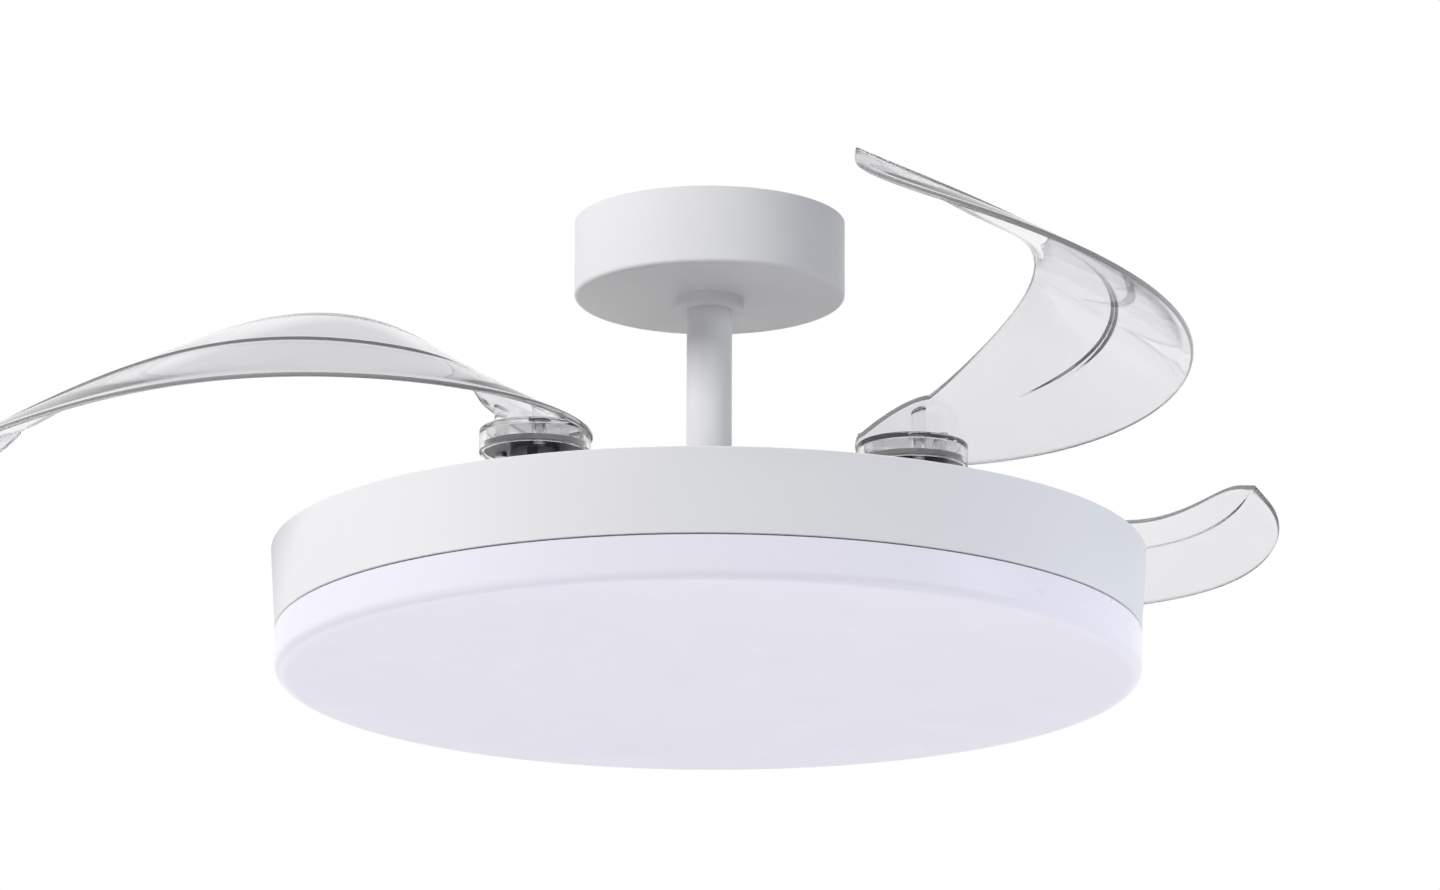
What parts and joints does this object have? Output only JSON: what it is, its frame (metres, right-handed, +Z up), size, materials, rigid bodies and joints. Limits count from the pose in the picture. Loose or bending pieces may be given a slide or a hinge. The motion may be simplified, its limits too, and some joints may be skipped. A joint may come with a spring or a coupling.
{
  "type": "retractable blade ceiling fan",
  "caption": "Ceiling fan on a short downrod with a round lamp drum, a frosted diffuser and clear curved blades that swing in over the drum when it stops.",
  "frame": {"origin": "centre of the two ceiling screws on the ceiling plate's upper face, on the fan's axis", "axes": "+Z up into the ceiling along the axis the rotor turns about, +X to the right and +Y away from the viewer of the picture; the blades are open at rest"},
  "size_m": [0.8293, 0.8538, 0.274],
  "materials": {
    "white_paint": "satin white powder coat",
    "white_screw": "satin white",
    "zinc_steel": "zinc plated",
    "bright_steel": "ground bright",
    "dark_steel": "satin black",
    "core_steel": "laminated, matt",
    "carrier_steel": "plated",
    "hub_metal": "satin grey casting",
    "copper": "enamelled wire",
    "magnet": "nickel plated",
    "brass": "machined",
    "black_rubber": "matt",
    "gear_plastic": "moulded",
    "white_plastic": "moulded",
    "box_plastic": "moulded",
    "board": "white solder mask on aluminium",
    "led": "phosphor",
    "clear_blade": "clear moulded plastic",
    "diffuser": "frosted, softly lit",
    "seal": "soft foam"
  },
  "bodies": {
    "fan_body": {"ceiling_plate": "zinc_steel", "terminal_block": "white_plastic", "terminal_screws": "brass", "canopy": "white_paint", "canopy_screws": "white_screw", "canopy_collar": "white_paint", "collar_screw": "white_screw", "downrod": "white_paint", "hanger_bolt": "zinc_steel", "hanger_nut": "zinc_steel", "shaft_coupling": "zinc_steel", "coupling_pin": "dark_steel", "coupling_clip": "zinc_steel", "motor_shaft": "bright_steel", "shaft_nut": "zinc_steel", "stator_core": "core_steel", "stator_windings": "copper", "bearing_inner_races": "bright_steel", "drum_band": "white_paint", "inner_cover": "white_paint", "cover_screws": "zinc_steel", "lamp_chassis": "white_paint", "chassis_screws": "zinc_steel", "led_board": "board", "led_chips": "led", "led_screws": "zinc_steel", "driver_box": "box_plastic", "receiver_box": "box_plastic", "box_screws": "zinc_steel", "diffuser": "diffuser", "diffuser_clips": "bright_steel", "diffuser_seal": "seal"},
    "rotor": {"motor_bell": "dark_steel", "rotor_cap": "dark_steel", "rotor_magnets": "magnet", "bell_screws": "zinc_steel", "bearing_outer_races": "bright_steel", "bearing_balls": "bright_steel", "blade_carrier": "carrier_steel", "carrier_screws": "dark_steel", "pivot_bushes": "brass", "stop_buffers": "black_rubber", "return_springs": "bright_steel"},
    "sync_ring": {"sync_gear": "gear_plastic"},
    "blade_arm_1": {"blade_1": "clear_blade", "blade_hub_1": "hub_metal", "blade_screws_1": "zinc_steel", "pivot_shaft_1": "bright_steel", "blade_gear_1": "gear_plastic"},
    "blade_arm_2": {"blade_2": "clear_blade", "blade_hub_2": "hub_metal", "blade_screws_2": "zinc_steel", "pivot_shaft_2": "bright_steel", "blade_gear_2": "gear_plastic"},
    "blade_arm_3": {"blade_3": "clear_blade", "blade_hub_3": "hub_metal", "blade_screws_3": "zinc_steel", "pivot_shaft_3": "bright_steel", "blade_gear_3": "gear_plastic"}
  },
  "joints": [
    {"name": "rotor_spin", "type": "hinge", "parent": "fan_body", "child": "rotor", "pos_m": [0, 0, -0.2], "axis": [0, 0, 1], "continuous": true},
    {"name": "blade_1_swing", "type": "hinge", "parent": "rotor", "child": "blade_arm_1", "pos_m": [-0.09929, -0.07757, -0.2], "axis": [0, 0, 1], "range_deg": [-109, 0]},
    {"name": "blade_2_swing", "type": "hinge", "parent": "rotor", "child": "blade_arm_2", "pos_m": [0.11682, -0.0472, -0.2], "axis": [0, 0, 1], "range_deg": [-109, 0]},
    {"name": "blade_3_swing", "type": "hinge", "parent": "rotor", "child": "blade_arm_3", "pos_m": [-0.01754, 0.12477, -0.2], "axis": [0, 0, 1], "range_deg": [-109, 0]},
    {"name": "sync_turn", "type": "hinge", "parent": "rotor", "child": "sync_ring", "pos_m": [0, 0, -0.2], "axis": [0, 0, 1], "range_deg": [0, 52.9]}
  ],
  "couplings": [
    {"joint": "blade_2_swing", "follows": "blade_1_swing", "ratio": 1},
    {"joint": "blade_3_swing", "follows": "blade_1_swing", "ratio": 1},
    {"joint": "sync_turn", "follows": "blade_1_swing", "ratio": -0.48148}
  ]
}
